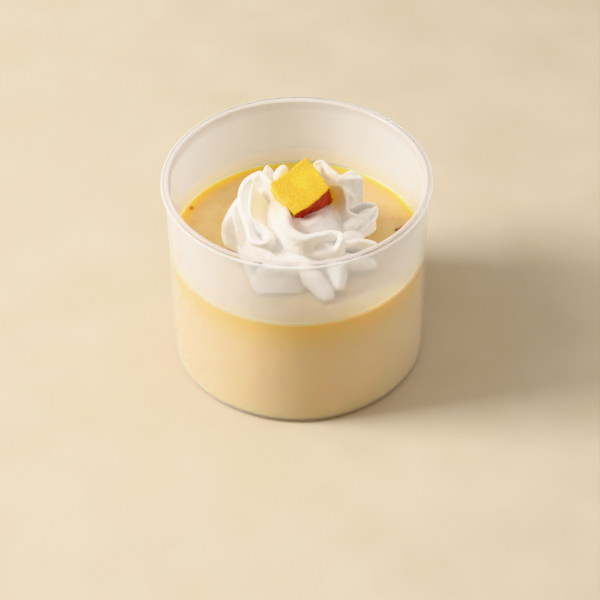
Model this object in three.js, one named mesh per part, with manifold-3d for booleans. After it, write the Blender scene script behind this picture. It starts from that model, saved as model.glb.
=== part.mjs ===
// Sweet potato pudding in its clear plastic cup, with a piped whipped-cream swirl
// and one dice of sweet potato on top. Millimetres, +Z up, the cup's base on z = 0
// and its axis on the z axis.
import * as THREE from "three";
import { mergeVertices } from "three/addons/utils/BufferGeometryUtils.js";
import Module from "manifold-3d";

// ---------------------------------------------------------------- driving dimensions

const GAP = 0.3; // clearance between pieces that touch in the real thing
const WELD = 1e-4; // points closer than this are one

const CUP = {
  height: 60,
  rimRadius: 38, // outside of the turned-out rim
  mouthRadius: 35.4, // inside of the mouth
  wallTop: 36.8, // outside of the wall under the rim
  wallBase: 35.6, // outside of the wall just above its base
  wall: 1.1, // thickness of the wall low down
  floor: 1.2, // thickness of the floor
  rimDepth: 1.3, // from the top of the bead to the underside of the rim
  beadWidth: 1.6, // the raised ring round the mouth
  beadStart: 55, // where the bead's arc starts, in degrees above level
  beadFoot: 0.15, // width of the fillet between bead and rim
  rimStep: 0.35, // how far the outer edge of the rim lies below the bead
  shoulder: 0.6, // height over which the wall flares out under the rim
  flare: 0.3, // how far it flares out
  baseCorner: 1.4, // outside radius at the foot
  floorCorner: 2.8, // inside radius at the foot
  footRing: 2.6, // width of the ring that the cup stands on
  footRecess: 0.5, // how far the middle of the base is set in
  sides: 60,
  arcSteps: 4, // facets round each small corner
};

const PUDDING = {
  level: 37, // height of the flat surface
  meniscus: 1.4, // how far the film climbs the wall
  meniscusReach: 2.2, // how far in from the wall the surface starts to climb
  meniscusPower: 3, // how sharply it climbs towards the wall
  meniscusSteps: 5, // facets down that climb
  sides: 48,
};

const SWIRL = {
  centre: [0.7, -3.5], // axis of the swirl, a little in front of the cup's axis
  endStations: 2, // sections along each fold: this many,
  knotStations: 1, // and this many more for each place of its crest
  capSteps: 3, // facets round the edge of a fold
  flankSteps: 2, // facets down each side of a fold
  flankPower: 2, // how late a fold's sides widen to its root
  crowding: 0.1, // how much closer together the sections lie at the ends
  endReach: 1.4, // length of a fold's rounded end, as a multiple of its edge radius
  endLimit: 1 / 3, // the most of a fold's length that one rounded end may take
  bluntness: 0.15, // share of its width that a fold keeps at its very end
  sink: 4, // how far the folds may reach below the pudding before they are trimmed
  sides: 24, // facets round the heap
};

// The heap that carries the folds: [radius, height above the pudding].
const HEAP = [[17.5, -3], [17.5, 2], [15.5, 5], [13, 9], [11, 12.5], [8.5, 15.5], [5, 17]];

// The folds of cream, each a blade with a round edge. crest holds a few places along
// that edge as [turn about the swirl's axis in degrees, distance from it, height above
// the pudding]; edge is the radius of the rounded edge at its two ends, root the half
// width where the blade joins the heap, pull the share of the way back to the axis that
// its root lies, and drop how far down.
const FOLDS = [
  // left of the dice: a fold that turns outwards, and a rounded lobe behind it
  { crest: [[165, 8, 21], [150, 10.5, 22], [145, 14, 22], [155, 15, 21]],
    edge: [0.9, 0.9], root: 2.6, pull: 0.3, drop: 9 },
  { crest: [[145, 8.5, 21], [130, 9.5, 22.5], [110, 11.5, 23]],
    edge: [1.4, 1.5], root: 2.4, pull: 0.2, drop: 9 },
  { crest: [[140, 13, 22], [130, 14, 22], [125, 12, 19.5]],
    edge: [0.7, 0.7], root: 2.2, pull: 0.3, drop: 8 },
  // left: a thin crest that curls back in a loop, and a second one outside it
  { crest: [[160, 14, 21], [180, 14, 19.5], [202, 15, 17.5], [215, 13, 15.5], [230, 13.5, 14],
      [231, 16, 13.5], [220, 18, 13.5], [210, 17, 14]],
    edge: [0.5, 0.8], root: 2.4, pull: 0.35, drop: 9 },
  { crest: [[165, 13.5, 19], [190, 13, 15.5], [210, 13, 12.5]],
    edge: [0.8, 1.6], root: 2.4, pull: 0.3, drop: 8 },
  { crest: [[145, 14.5, 22], [160, 17, 20], [180, 17, 17], [200, 16, 14], [215, 17, 11.5], [235, 17, 8]],
    edge: [0.9, 0.8], root: 3, pull: 0.35, drop: 10 },
  // left: the outer leaf, the crest of the valley inside it, and the band below the loop
  { crest: [[170, 17.5, 17.5], [175, 20, 13], [175, 22, 8], [180, 22, 2]],
    edge: [1.4, 1.6], root: 3.5, pull: 0.35, drop: 8 },
  { crest: [[175, 19, 16], [182, 18.5, 11], [188, 17.5, 5], [190, 16.5, 1]],
    edge: [0.6, 0.8], root: 3.5, pull: 0.4, drop: 8 },
  { crest: [[214, 17.5, 13], [228, 17, 11], [244, 16.5, 9], [262, 15.5, 7.5]],
    edge: [1.2, 1.6], root: 3, pull: 0.35, drop: 8 },
  // front: the last fold piped, a lip that starts beside the dice and ends in a hook, and
  // the cream inside it that rises to the dice
  { crest: [[228, 7.5, 21.5], [243, 9.5, 21], [257, 13.5, 19], [274, 15, 17.5], [290, 14.5, 17],
      [307, 15, 16.5], [313, 17, 16], [303, 19.5, 15]],
    edge: [1.7, 0.6], root: 2.6, pull: 0.15, drop: 6 },
  { crest: [[225, 5.5, 19.5], [255, 8, 18.5], [280, 8.5, 17.5], [320, 8.5, 18]],
    edge: [2, 2], root: 4, pull: 0.2, drop: 8 },
  // front: what carries the lip, the body below it, and the thin crest on its right
  { crest: [[245, 12.5, 14], [275, 13, 13], [300, 16.5, 12.5], [315, 18.5, 11]],
    edge: [2.2, 2.2], root: 4, pull: 0.4, drop: 9 },
  { crest: [[230, 18, 7.5], [270, 14, 8.5], [310, 17, 8.5]],
    edge: [2.2, 2.4], root: 4, pull: 0.4, drop: 8 },
  { crest: [[315, 17, 11.5], [335, 19, 10], [342, 23, 8]],
    edge: [0.7, 0.7], root: 3, pull: 0.35, drop: 7 },
  // right: a ribbon that swings forward from the dice and out to the tip of the right lobe
  { crest: [[20, 9, 21], [18, 12, 20.5], [0, 13, 19], [-8, 13.5, 16], [-8, 17, 14.5], [8, 22, 13.5]],
    edge: [0.5, 0.5], root: 1.4, pull: 0.05, drop: 8 },
  { crest: [[5, 14, 14], [12, 18, 14], [10, 22, 13.5]],
    edge: [0.5, 0.5], root: 2, pull: 0.3, drop: 8 },
  { crest: [[8, 22, 13.5], [0, 21.5, 12], [-15, 17.5, 10.5]],
    edge: [0.5, 0.7], root: 2, pull: 0.35, drop: 8 },
  { crest: [[-22, 14, 14], [-10, 17, 13], [5, 21, 13]],
    edge: [1.6, 1.2], root: 3, pull: 0.35, drop: 9 },
  { crest: [[-38, 15, 12.5], [-20, 17, 10.5], [-10, 18.5, 8]],
    edge: [1.6, 1.6], root: 3, pull: 0.35, drop: 8 },
  // back right: two crests that close a narrow hollow, their side, and an arch by the dice
  { crest: [[45, 15, 18.5], [36, 18, 17.5], [34, 22, 16]],
    edge: [0.5, 0.5], root: 2.2, pull: 0.25, drop: 10 },
  { crest: [[42, 16, 18], [41, 19.5, 18], [34, 22, 16]],
    edge: [0.5, 0.5], root: 2.2, pull: 0.35, drop: 10 },
  { crest: [[46, 14.5, 17], [38, 20, 16.5]],
    edge: [1.2, 1], root: 2, pull: 0.3, drop: 8 },
  { crest: [[35, 22, 16], [34, 21.5, 11], [36, 22, 7]],
    edge: [0.6, 0.8], root: 3, pull: 0.35, drop: 8 },
  { crest: [[73, 13.5, 21], [66, 15.5, 21], [56, 15, 20], [44, 15.5, 18.5]],
    edge: [0.6, 0.6], root: 2.4, pull: 0.35, drop: 9 },
  { crest: [[68, 14.5, 20.5], [64, 12.5, 20], [58, 10.5, 19.5]],
    edge: [0.8, 0.8], root: 2.2, pull: 0.2, drop: 9 },
  // under the dice: the mound that its back rests on
  { crest: [[135, 7, 20.5], [80, 8.5, 21.5], [35, 7, 20]],
    edge: [2.2, 2.2], root: 4, pull: 0.2, drop: 10 },
  // front foot: a flat-faced corner
  { crest: [[228, 20, 8.5], [227, 21.5, 5], [234, 22.5, 3], [241, 23.5, 0.5]],
    edge: [0.6, 0.8], root: 2.5, pull: 0.5, drop: 4 },
  { crest: [[232, 19.5, 7.5], [248, 17, 7.5], [272, 15.5, 7]],
    edge: [1.4, 1.8], root: 2.6, pull: -0.12, drop: 7 },
  { crest: [[240, 22.5, 0.5], [255, 20, 0.5], [273, 18.5, 1]],
    edge: [1, 1.2], root: 3, pull: 0.4, drop: 4 },
  // front foot: a tongue that lies on the pudding, and the fold beside it
  { crest: [[268, 14, 8.5], [279, 19, 6], [287, 23, 3.5], [290, 26, 1.5]],
    edge: [3.5, 2.4], root: 4, pull: 0.4, drop: 5 },
  { crest: [[306, 17, 10], [304, 21, 7], [298, 24, 2.5]],
    edge: [2.8, 1.6], root: 3.5, pull: 0.4, drop: 7 },
  // right foot: the low lobe
  { crest: [[302, 17, 8.5], [324, 20, 6], [340, 24, 1.5]],
    edge: [2.6, 1.8], root: 3.5, pull: 0.35, drop: 6 },
];

// The folds at the back all have one form and differ only in their turn.
const BACK_TURNS = [25, 60, 92, 125, 150];
const BACK_FOLD = {
  crest: [[0, 9, 18.5], [3, 13, 17.5], [10, 18.5, 11.5], [18, 21, 4], [20, 21, 1]],
  edge: [1.3, 1.3], root: 3, pull: 0.4, drop: 9,
};

const DICE = {
  width: 12.6, // along the edge that keeps its skin
  depth: 11, // from that edge to the one across from it
  skew: -0.5, // how far the cut edges are out of square
  thickness: 9.5,
  skinBulge: 1, // how far the skin side stands out in its middle
  skinLean: 0.2, // how far it stands out further down, per millimetre of depth
  skinSides: 8, // facets along the skin side
  centre: [0.7, -5.7, 61.7], // middle of the top face
  tilt: 33, // how far the top face leans to the front, in degrees
  turn: 38, // turn of the skin edge from the x axis, in degrees
};

// ---------------------------------------------------------------- shared helpers

const wasm = await Module();
wasm.setup();

/** A manifold solid from a closed three.js geometry. */
function solidOf(geometry) {
  const bare = geometry.clone();
  bare.deleteAttribute("normal");
  bare.deleteAttribute("uv");
  const merged = mergeVertices(bare, WELD);
  return new wasm.Manifold(
    new wasm.Mesh({
      numProp: 3,
      vertProperties: Float32Array.from(merged.attributes.position.array),
      triVerts: Uint32Array.from(merged.index.array),
    }),
  );
}

/** A three.js geometry from a manifold solid. */
function geometryOf(solid) {
  const mesh = solid.getMesh();
  const geometry = new THREE.BufferGeometry();
  geometry.setAttribute("position", new THREE.BufferAttribute(mesh.vertProperties, 3));
  geometry.setIndex(new THREE.BufferAttribute(mesh.triVerts, 1));
  geometry.computeVertexNormals();
  return geometry;
}

/** Turns a profile of [radius, z] points about the z axis. */
function turned(profile, sides) {
  const points = profile.map(([r, z]) => new THREE.Vector2(r, z));
  return new THREE.LatheGeometry(points, sides).rotateX(Math.PI / 2);
}

/** Points on an arc about [r, z], from one angle to another in degrees. */
function arc([r, z], radius, from, to, steps) {
  return Array.from({ length: steps + 1 }, (_, i) => {
    const a = THREE.MathUtils.degToRad(from + ((to - from) * i) / steps);
    return [r + radius * Math.cos(a), z + radius * Math.sin(a)];
  });
}

/** A named mesh with its own material. */
function piece(name, geometry, color, roughness, extra = {}) {
  const material = new THREE.MeshStandardMaterial({ color, roughness, metalness: 0, ...extra });
  const mesh = new THREE.Mesh(geometry, material);
  mesh.name = name;
  return mesh;
}

// ---------------------------------------------------------------- cup

/** Inside radius of the cup at a height above its floor corner. */
function insideRadius(z) {
  const low = CUP.wallBase - CUP.wall;
  return low + ((CUP.mouthRadius - low) * z) / CUP.height;
}

/** The cup: a thin tapered wall with a stepped rim and a set-in base. */
function cupGeometry() {
  const under = CUP.height - CUP.rimDepth;
  const edge = CUP.height - CUP.rimStep;
  const lip = (edge - under) / 2;
  const bead = CUP.beadWidth / 2;
  const recess = CUP.wallBase - CUP.baseCorner - CUP.footRing;
  const inner = insideRadius(CUP.floor + CUP.floorCorner);
  return turned(
    [
      [0, CUP.footRecess],
      [recess, CUP.footRecess],
      [recess + CUP.footRecess, 0],
      ...arc([CUP.wallBase - CUP.baseCorner, CUP.baseCorner], CUP.baseCorner, -90, 0, CUP.arcSteps),
      [CUP.wallTop, under - CUP.shoulder],
      [CUP.wallTop + CUP.flare, under],
      ...arc([CUP.rimRadius - lip, under + lip], lip, -90, 90, CUP.arcSteps),
      [CUP.mouthRadius + CUP.beadWidth + CUP.beadFoot, edge],
      ...arc([CUP.mouthRadius + bead, CUP.height - bead], bead, CUP.beadStart, 180, CUP.arcSteps + 1),
      ...arc([inner - CUP.floorCorner, CUP.floor + CUP.floorCorner], CUP.floorCorner, 0, -90, CUP.arcSteps),
      [0, CUP.floor],
    ],
    CUP.sides,
  );
}

// ---------------------------------------------------------------- pudding

/** The pudding: it fills the cup to its level, and a film climbs the wall. */
function puddingGeometry() {
  const corner = CUP.floorCorner;
  const bottom = CUP.floor + GAP;
  const top = PUDDING.level + PUDDING.meniscus;
  const low = insideRadius(bottom + corner) - GAP;
  const high = insideRadius(top) - GAP;
  const climb = Array.from({ length: PUDDING.meniscusSteps }, (_, i) => {
    const t = (i + 1) / PUDDING.meniscusSteps;
    return [
      high - PUDDING.meniscusReach * t,
      PUDDING.level + PUDDING.meniscus * (1 - t) ** PUDDING.meniscusPower,
    ];
  });
  return turned(
    [
      [0, bottom],
      ...arc([low - corner, bottom + corner], corner, -90, 0, CUP.arcSteps),
      [high, top],
      ...climb,
      [0, PUDDING.level],
    ],
    PUDDING.sides,
  );
}

// ---------------------------------------------------------------- cream swirl

/** A place on the swirl from its turn in degrees, its distance and its height. */
function onSwirl([turn, distance, height]) {
  const a = THREE.MathUtils.degToRad(turn);
  return new THREE.Vector3(
    SWIRL.centre[0] + distance * Math.cos(a),
    SWIRL.centre[1] + distance * Math.sin(a),
    PUDDING.level + height,
  );
}

/** How full a fold is at a place along it: 1 in its length, rounding off at its ends. */
function endRound(s, length, reach) {
  const t = Math.min(s, length - s, reach) / reach;
  return Math.max(SWIRL.bluntness, Math.sqrt(1 - (1 - t) ** 2));
}

/** One fold of cream: a section with a round edge and widening sides, along its crest. */
function foldGeometry({ crest, edge, root, pull, drop }) {
  const curve = new THREE.CatmullRomCurve3(crest.map(onSwirl));
  const length = curve.getLength();
  const axis = onSwirl([0, 0, 0]);
  const stations = Math.round(SWIRL.endStations + SWIRL.knotStations * crest.length);
  const positions = [];
  for (let i = 0; i < stations; i++) {
    const even = i / (stations - 1);
    const t = even - SWIRL.crowding * Math.sin(2 * Math.PI * even);
    const radius = THREE.MathUtils.lerp(edge[0], edge[1], t);
    const rounding = Math.min(radius * SWIRL.endReach, length * SWIRL.endLimit);
    const full = endRound(t * length, length, rounding);
    const tip = curve.getPointAt(t);
    const foot = tip.clone().lerp(axis, pull).setZ(Math.max(tip.z - drop, PUDDING.level - SWIRL.sink));
    const down = foot.sub(tip);
    const reach = down.length();
    down.normalize();
    const side = curve.getTangentAt(t).cross(down).normalize();
    for (const [deep, wide] of foldSection(radius, Math.max(root, radius), reach)) {
      const lift = deep < radius ? radius - (radius - deep) * full : deep;
      positions.push(...tip.clone().addScaledVector(down, lift).addScaledVector(side, wide * full));
    }
  }
  return closedLoft(positions, stations);
}

/** The section of a fold as [depth below the crest, offset to the side], all the way round. */
function foldSection(edge, root, reach) {
  const cap = arc([0, 0], edge, -90, 90, SWIRL.capSteps).map(([c, s]) => [edge - c, s]);
  const flank = Array.from({ length: SWIRL.flankSteps }, (_, i) => {
    const t = (i + 1) / SWIRL.flankSteps;
    return [edge + (reach - edge) * t, edge + (root - edge) * t ** SWIRL.flankPower];
  });
  const back = flank.toReversed().map(([deep, wide]) => [deep, -wide]);
  return [...cap, ...flank, ...back];
}

/** Joins equal rings of points into a closed skin with a fan over each end. */
function closedLoft(positions, rings) {
  const around = positions.length / 3 / rings;
  const index = [];
  for (let i = 0; i < rings - 1; i++) {
    for (let j = 0; j < around; j++) {
      const a = i * around + j;
      const b = i * around + ((j + 1) % around);
      index.push(a, a + around, b, b, a + around, b + around);
    }
  }
  for (let j = 1; j < around - 1; j++) {
    index.push(0, j, j + 1);
    const last = (rings - 1) * around;
    index.push(last, last + j + 1, last + j);
  }
  const geometry = new THREE.BufferGeometry();
  geometry.setAttribute("position", new THREE.Float32BufferAttribute(positions, 3));
  geometry.setIndex(index);
  return geometry;
}

/** The whole swirl: heap and folds as one body, trimmed flat where it sits on the pudding. */
function swirlSolid() {
  const heap = turned([[0, HEAP[0][1]], ...HEAP, [0, HEAP.at(-1)[1]]], SWIRL.sides);
  heap.translate(SWIRL.centre[0], SWIRL.centre[1], PUDDING.level);
  const back = BACK_TURNS.map((turn) => ({
    ...BACK_FOLD,
    crest: BACK_FOLD.crest.map(([ahead, distance, height]) => [turn + ahead, distance, height]),
  }));
  let body = solidOf(heap);
  for (const fold of [...FOLDS, ...back]) {
    body = body.add(solidOf(foldGeometry(fold)));
  }
  const seat = PUDDING.level + GAP;
  const above = new THREE.CylinderGeometry(CUP.rimRadius, CUP.rimRadius, CUP.height, SWIRL.sides);
  above.rotateX(Math.PI / 2).translate(0, 0, seat + CUP.height / 2);
  return body.intersect(solidOf(above));
}

// ---------------------------------------------------------------- sweet potato dice

/** The dice, grown all round by a margin: a skewed block with one bulging skin side. */
function diceGeometry(margin) {
  const w = DICE.width / 2 + margin;
  const d = DICE.depth / 2 + margin;
  const outline = new THREE.Shape();
  outline.moveTo(-w, -d);
  outline.quadraticCurveTo(0, -d - 2 * DICE.skinBulge, w, -d);
  outline.lineTo(w - DICE.skew, d);
  outline.lineTo(-w - DICE.skew, d);
  outline.closePath();
  const block = new THREE.ExtrudeGeometry(outline, {
    depth: DICE.thickness + 2 * margin,
    bevelEnabled: false,
    curveSegments: DICE.skinSides,
  });
  block.translate(0, 0, -DICE.thickness - margin);
  const place = block.getAttribute("position");
  for (let i = 0; i < place.count; i++) {
    const front = Math.max(-place.getY(i) / d, 0);
    place.setY(i, place.getY(i) + DICE.skinLean * place.getZ(i) * Math.min(front, 1));
  }
  block.rotateZ(THREE.MathUtils.degToRad(DICE.turn));
  block.rotateX(THREE.MathUtils.degToRad(DICE.tilt));
  return block.translate(...DICE.centre);
}

// ---------------------------------------------------------------- the object

const cream = swirlSolid().subtract(solidOf(diceGeometry(GAP)));

const pudding = new THREE.Group();
pudding.add(
  piece("cup", cupGeometry(), "#e9e4dc", 0.35, { transparent: true, opacity: 0.35 }),
  piece("pudding", puddingGeometry(), "#e3a860", 0.4),
  piece("cream", geometryOf(cream), "#f6f1e6", 0.5),
  piece("potato_dice", diceGeometry(0), "#f0c020", 0.6),
);

export default pudding;
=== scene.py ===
"""Sweet potato pudding in its clear plastic cup, dressed for rendering.

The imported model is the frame. Every piece made here stands for one of its nodes, or lies on one.
Sizes are in millimetres and angles in degrees; the meshes are written in metres. The cup's axis
is the z axis and its foot stands on z = 0.
"""
import logging
from dataclasses import dataclass
from enum import Enum
from typing import Any

import bmesh
import bpy
import numpy as np
import numpy.typing as npt
from mathutils import Matrix, Vector


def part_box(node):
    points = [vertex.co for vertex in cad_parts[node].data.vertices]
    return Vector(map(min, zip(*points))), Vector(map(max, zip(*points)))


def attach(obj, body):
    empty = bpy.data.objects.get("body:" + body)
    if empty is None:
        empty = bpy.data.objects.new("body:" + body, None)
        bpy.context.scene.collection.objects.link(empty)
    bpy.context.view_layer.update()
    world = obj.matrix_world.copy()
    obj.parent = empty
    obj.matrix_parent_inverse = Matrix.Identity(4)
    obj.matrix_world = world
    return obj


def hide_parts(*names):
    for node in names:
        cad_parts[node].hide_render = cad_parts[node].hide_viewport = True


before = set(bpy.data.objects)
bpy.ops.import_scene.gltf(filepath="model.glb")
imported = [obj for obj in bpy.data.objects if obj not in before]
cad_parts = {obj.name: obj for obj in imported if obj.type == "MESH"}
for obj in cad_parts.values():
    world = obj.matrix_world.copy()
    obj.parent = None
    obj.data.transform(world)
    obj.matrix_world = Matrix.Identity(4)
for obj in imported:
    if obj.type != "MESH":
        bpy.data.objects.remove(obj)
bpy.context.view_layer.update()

Array = npt.NDArray[np.float64]
Rgba = tuple[float, float, float, float]
Triple = tuple[float, float, float]

MM = 0.001
POLE = 0.01  # radius at which a turned outline starts and ends, before it is closed at the axis

log = logging.getLogger("pudding")


class Slot(Enum):
    """The record's material slots."""

    CUP = "cup_plastic"
    PUDDING = "pudding"
    CREAM = "whipped_cream"
    POTATO = "sweet_potato"


# ---------------------------------------------------------------- shared helpers


def linear(colour: str) -> Rgba:
    """Turns an sRGB hex colour into linear light.

    Args:
        colour: the colour as "#rrggbb".

    Returns:
        Red, green, blue and an alpha of 1.
    """
    coded = np.array([int(colour[i : i + 2], 16) / 255 for i in (1, 3, 5)])
    light = np.where(coded <= 0.04045, coded / 12.92, ((coded + 0.055) / 1.055) ** 2.4)
    return (*light.tolist(), 1.0)


def add_node(
    tree: bpy.types.NodeTree, kind: str, settings: dict[str | int, Any] | None = None, **links: Any
) -> bpy.types.Node:
    """Adds a node with its settings and its links.

    An input goes by its name, or by its number where several share a name: in a Mix node 0 is
    the share, 6 the first colour and 7 the second, and in a Math node 0, 1 and 2 are its values.

    Args:
        tree: the material's node tree.
        kind: the node's type.
        settings: attributes of the node, and values of its inputs.
        links: an output socket for each input, as its name with _ for a space, or at_ and its number.

    Returns:
        The node.
    """
    node = tree.nodes.new(kind)
    for name, value in (settings or {}).items():
        if isinstance(name, str) and hasattr(node, name):
            setattr(node, name, value)
        else:
            node.inputs[name].default_value = value
    for name, socket in links.items():
        key = int(name[3:]) if name.startswith("at_") else name.replace("_", " ")
        tree.links.new(socket, node.inputs[key])
    return node


def shade_ramp(node: bpy.types.Node, stops: list[tuple[float, str]]) -> None:
    """Gives a colour ramp its stops.

    Args:
        node: the ramp node.
        stops: place and sRGB hex colour of each stop, in rising order.
    """
    points = node.color_ramp.elements
    while len(points) < len(stops):
        points.new(0.5)
    for point, (place, colour) in zip(points, stops):
        point.position = place
        point.color = linear(colour)


def arc(centre: tuple[float, float], radius: float, start: float, end: float, steps: int) -> Array:
    """Points on an arc: the centre plus the radius times the cosine and sine of an even fan of angles.

    Args:
        centre: radius and height of the arc's centre.
        radius: radius of the arc.
        start: first angle.
        end: last angle.
        steps: number of equal steps.

    Returns:
        Points as rows of radius and height.
    """
    angle = np.radians(np.linspace(start, end, steps + 1))
    return np.stack([centre[0] + radius * np.cos(angle), centre[1] + radius * np.sin(angle)], 1)


@dataclass(frozen=True)
class Grain:
    """Smooth random relief: the most that it rises or falls, its grain's size, and its seed."""

    height: float
    size: float
    seed: int
    cells: int = 32

    def over(self, points: Array) -> Array:
        """The relief at places in space.

        A lattice with sides of one grain holds a seeded random number from -1 to 1 at each corner,
        and repeats after a number of cells. Inside a cell the eight numbers are blended by the
        smooth cubic 3t^2 - 2t^3 along each axis.

        Args:
            points: rows of x, y and z.

        Returns:
            A rise for each point.
        """
        lattice = np.random.default_rng(self.seed).uniform(-1, 1, (self.cells,) * 3)
        place = points / self.size
        cell = np.floor(place).astype(int)
        t = place - cell
        t = t * t * (3 - 2 * t)
        value = np.zeros(len(points))
        for corner in np.ndindex(2, 2, 2):
            index = (cell + corner) % self.cells
            weight = np.where(np.array(corner) == 1, t, 1 - t).prod(1)
            value += weight * lattice[index[:, 0], index[:, 1], index[:, 2]]
        return self.height * value


@dataclass(frozen=True)
class Skin:
    """A closed surface: its points in millimetres, and its faces."""

    points: Array
    faces: list[tuple[int, ...]]

    @staticmethod
    def of_rings(rings: Array) -> "Skin":
        """Joins rings of points with four-sided faces, and closes each end with a fan to its middle.

        Args:
            rings: array of shape (rings, points around, 3).

        Returns:
            The closed skin.
        """
        count, around, _ = rings.shape
        ring, near = np.meshgrid(np.arange(count - 1), np.arange(around), indexing="ij")
        far = (near + 1) % around
        low = ring * around
        high = low + around
        quads = np.stack([low + near, low + far, high + far, high + near], -1).reshape(-1, 4)
        middle = np.full(around, count * around)
        here = np.arange(around)
        after = (here + 1) % around
        last = (count - 1) * around
        start = np.stack([middle, after, here], 1)
        end = np.stack([middle + 1, last + here, last + after], 1)
        points = np.vstack([rings.reshape(-1, 3), rings[0].mean(0), rings[-1].mean(0)])
        faces = [tuple(face) for group in (quads, start, end) for face in group.tolist()]
        return Skin(points, faces)

    @staticmethod
    def turned(profile: Array, sides: int, axis: tuple[float, float] = (0.0, 0.0)) -> "Skin":
        """Turns a profile about an upright axis.

        x and y are the radius times the cosine and the sine of the turn, and z is the height.

        Args:
            profile: rows of radius and height, from one pole to the other.
            sides: points around.
            axis: where the axis stands.

        Returns:
            The closed skin.
        """
        turn = np.linspace(0, 2 * np.pi, sides, endpoint=False)
        radius = profile[:, :1]
        x = axis[0] + radius * np.cos(turn)
        y = axis[1] + radius * np.sin(turn)
        z = profile[:, 1:] + 0 * turn
        return Skin.of_rings(np.stack([x, y, z], -1))


def add_piece(name: str, skins: list[Skin], finishes: list[bpy.types.Material]) -> bpy.types.Object:
    """Writes skins into one smooth mesh object that sits at the origin.

    Args:
        name: the object's name.
        skins: its closed skins.
        finishes: its materials, the first on every face.

    Returns:
        The object.
    """
    points: list[list[float]] = []
    faces: list[tuple[int, ...]] = []
    for skin in skins:
        offset = len(points)
        points.extend((skin.points * MM).tolist())
        faces.extend(tuple(corner + offset for corner in face) for face in skin.faces)
    mesh = bpy.data.meshes.new(name)
    mesh.from_pydata(points, [], faces)
    mesh.update()
    mesh.shade_smooth()
    for finish in finishes:
        mesh.materials.append(finish)
    item = bpy.data.objects.new(name, mesh)
    bpy.context.scene.collection.objects.link(item)
    return item


def face_outwards(mesh: bpy.types.Mesh) -> None:
    """Turns every face of a mesh of closed skins outwards.

    Args:
        mesh: the mesh.
    """
    work = bmesh.new()
    work.from_mesh(mesh)
    bmesh.ops.recalc_face_normals(work, faces=work.faces)
    work.to_mesh(mesh)
    work.free()


def settle(item: bpy.types.Object) -> None:
    """Puts what an object's modifiers make into its mesh, and removes them.

    Args:
        item: the object.
    """
    bpy.context.view_layer.update()
    shaped = item.evaluated_get(bpy.context.evaluated_depsgraph_get())
    made = bpy.data.meshes.new_from_object(shaped)
    item.modifiers.clear()
    item.data = made


def points_of(mesh: bpy.types.Mesh) -> tuple[Array, Array]:
    """Reads a mesh's points and normals.

    Args:
        mesh: the mesh.

    Returns:
        Points in millimetres, and unit normals, as rows.
    """
    count = len(mesh.vertices)
    points = np.empty(count * 3)
    normals = np.empty(count * 3)
    mesh.vertices.foreach_get("co", points)
    mesh.vertex_normals.foreach_get("vector", normals)
    return points.reshape(-1, 3) / MM, normals.reshape(-1, 3)


def move_points(mesh: bpy.types.Mesh, points: Array) -> None:
    """Writes points in millimetres back into a mesh."""
    mesh.vertices.foreach_set("co", (points * MM).ravel())
    mesh.update()


def main_part(mesh: bpy.types.Mesh) -> Array:
    """Tells the vertices of a mesh's largest connected part from those of loose specks.

    Every vertex takes the lowest number found at either end of its edges, and then the number
    that this one has taken, until nothing changes: a connected part then shares one number.

    Args:
        mesh: the mesh.

    Returns:
        One truth value for each vertex.
    """
    ends = np.empty(2 * len(mesh.edges), np.int32)
    mesh.edges.foreach_get("vertices", ends)
    ends = ends.reshape(-1, 2)
    label = np.arange(len(mesh.vertices))
    changed = True
    while changed:
        lower = label.copy()
        lowest = label[ends].min(axis=1)
        np.minimum.at(lower, ends[:, 0], lowest)
        np.minimum.at(lower, ends[:, 1], lowest)
        lower = lower[lower]
        changed = bool((lower != label).any())
        label = lower
    return label == np.bincount(label).argmax()


def paint(mesh: bpy.types.Mesh, name: str, values: Array) -> None:
    """Keeps one number for each point of a mesh as a named attribute."""
    layer = mesh.attributes.new(name, "FLOAT", "POINT")
    layer.data.foreach_set("value", values.astype(np.float32))


# ---------------------------------------------------------------- finishes


@dataclass(frozen=True)
class Finish:
    """What every finish has: a plain name, its gloss, and how far light goes into it.

    Attributes:
        name: the material's name.
        roughness: how much the surface spreads what it mirrors.
        ior: index of refraction.
        glow: share of the light that goes in and comes out beside its place.
        reach: how far red, green and blue go, as shares of the depth.
        depth: the farthest that light goes.
    """

    name: str
    roughness: float = 0.5
    ior: float = 1.5
    glow: float = 0.0
    reach: Triple = (1.0, 1.0, 1.0)
    depth: float = 1.0

    def start(self) -> tuple[bpy.types.Material, bpy.types.NodeTree, bpy.types.Node]:
        """Makes a material with one shader, set to this finish, on its output.

        Returns:
            The material, its node tree and its Principled shader.
        """
        material = bpy.data.materials.new(self.name)
        material.use_nodes = True
        tree = material.node_tree
        tree.nodes.clear()
        shader = add_node(tree, "ShaderNodeBsdfPrincipled")
        shader.inputs["Roughness"].default_value = self.roughness
        shader.inputs["IOR"].default_value = self.ior
        shader.inputs["Subsurface Weight"].default_value = self.glow
        shader.inputs["Subsurface Radius"].default_value = self.reach
        shader.inputs["Subsurface Scale"].default_value = self.depth * MM
        add_node(tree, "ShaderNodeOutputMaterial", Surface=shader.outputs[0])
        return material, tree, shader

    def place(self, tree: bpy.types.NodeTree, size: float) -> Any:
        """Object coordinates scaled so that one unit is one grain of a pattern.

        Args:
            tree: the material's node tree.
            size: the grain's size.

        Returns:
            The socket that carries the place.
        """
        here = add_node(tree, "ShaderNodeTexCoord").outputs["Object"]
        scale = 1 / (size * MM)
        return add_node(tree, "ShaderNodeMapping", {"Scale": (scale,) * 3}, Vector=here).outputs[0]


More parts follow.
